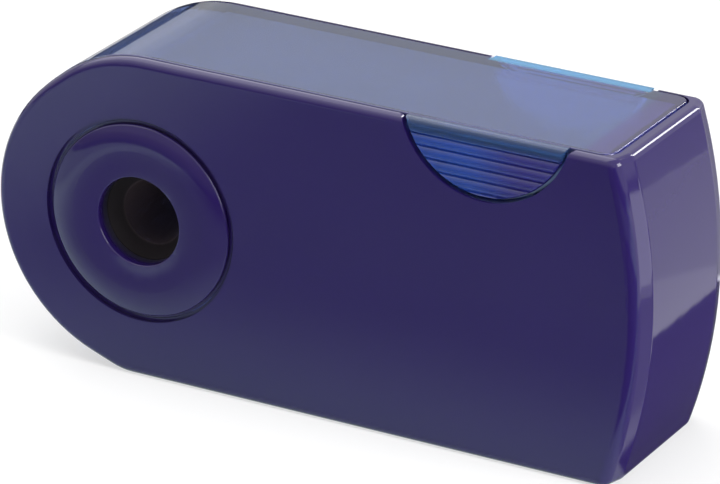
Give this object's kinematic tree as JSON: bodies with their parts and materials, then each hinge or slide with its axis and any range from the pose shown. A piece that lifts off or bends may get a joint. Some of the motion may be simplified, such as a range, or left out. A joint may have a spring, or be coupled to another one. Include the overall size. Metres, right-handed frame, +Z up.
{
  "type": "pencil sharpener",
  "caption": "Hand-held pencil sharpener: an opaque sleeve with a round end and a translucent shavings tub that swings up about the pencil hole to be emptied.",
  "frame": {"origin": "on the table, under the middle of the whole part", "axes": "+X from the round pencil end towards the flat end wall, +Y towards the rear cheek, +Z up towards the tub's roof"},
  "size_m": [0.083, 0.024, 0.0392],
  "materials": {
    "sleeve_plastic": "smooth gloss, dark blue-violet",
    "tub_plastic": "translucent blue-violet, gloss",
    "hub_plastic": "smooth gloss, dark blue-violet",
    "block_plastic": "black, fine matt",
    "blade_steel": "ground, with a bright bevel",
    "screw_steel": "turned, slotted head"
  },
  "bodies": {
    "sleeve": {"sleeve": "sleeve_plastic"},
    "tub": {"shavings_tub": "tub_plastic", "pencil_hub": "hub_plastic", "rear_hub": "hub_plastic", "sharpener_block": "block_plastic", "sharpener_blade": "blade_steel", "blade_screw": "screw_steel"}
  },
  "joints": [
    {"name": "tub_swing", "type": "hinge", "parent": "sleeve", "child": "tub", "pos_m": [-0.02232, 0, 0.0195], "axis": [0, -1, 0], "range_deg": [0, 160]}
  ]
}
